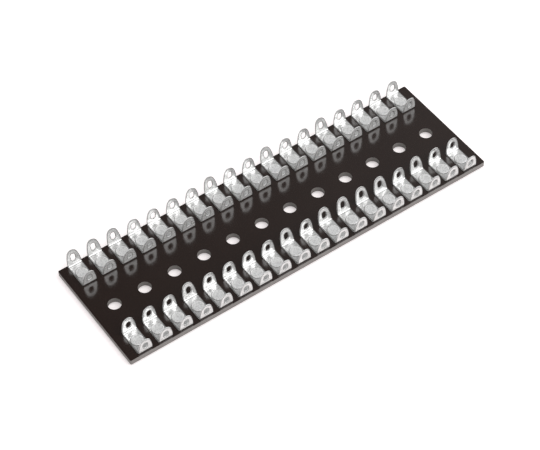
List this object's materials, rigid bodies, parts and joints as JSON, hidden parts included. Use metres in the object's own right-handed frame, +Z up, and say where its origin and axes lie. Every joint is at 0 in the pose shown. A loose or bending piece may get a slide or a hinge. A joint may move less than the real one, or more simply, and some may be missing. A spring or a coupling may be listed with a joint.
{
  "type": "component tag board",
  "caption": "Laminate board with rows of folded, tinned solder tags riveted along both long edges and round holes down the middle, for wiring components across between the tags.",
  "frame": {"origin": "on the board's underside, midway between the two middle holes of its centre line", "axes": "+X along the rows of tags, +Y across the board towards the back row, +Z up through the board, the way the ears point"},
  "size_m": [0.177, 0.0565, 0.0109],
  "materials": {
    "laminate": "glossy dark brown paper laminate",
    "tinned_sheet": "bright tinned sheet, slightly mottled",
    "rivet_metal": "plated, satin"
  },
  "bodies": {
    "root": {"board": "laminate", "front_tag_01": "tinned_sheet", "front_tag_02": "tinned_sheet", "front_tag_03": "tinned_sheet", "front_tag_04": "tinned_sheet", "front_tag_05": "tinned_sheet", "front_tag_06": "tinned_sheet", "front_tag_07": "tinned_sheet", "front_tag_08": "tinned_sheet", "front_tag_09": "tinned_sheet", "front_tag_10": "tinned_sheet", "front_tag_11": "tinned_sheet", "front_tag_12": "tinned_sheet", "front_tag_13": "tinned_sheet", "front_tag_14": "tinned_sheet", "front_tag_15": "tinned_sheet", "front_tag_16": "tinned_sheet", "front_tag_17": "tinned_sheet", "front_tag_18": "tinned_sheet", "back_tag_01": "tinned_sheet", "back_tag_02": "tinned_sheet", "back_tag_03": "tinned_sheet", "back_tag_04": "tinned_sheet", "back_tag_05": "tinned_sheet", "back_tag_06": "tinned_sheet", "back_tag_07": "tinned_sheet", "back_tag_08": "tinned_sheet", "back_tag_09": "tinned_sheet", "back_tag_10": "tinned_sheet", "back_tag_11": "tinned_sheet", "back_tag_12": "tinned_sheet", "back_tag_13": "tinned_sheet", "back_tag_14": "tinned_sheet", "back_tag_15": "tinned_sheet", "back_tag_16": "tinned_sheet", "back_tag_17": "tinned_sheet", "back_tag_18": "tinned_sheet", "front_rivets": "rivet_metal", "back_rivets": "rivet_metal"}
  },
  "joints": []
}
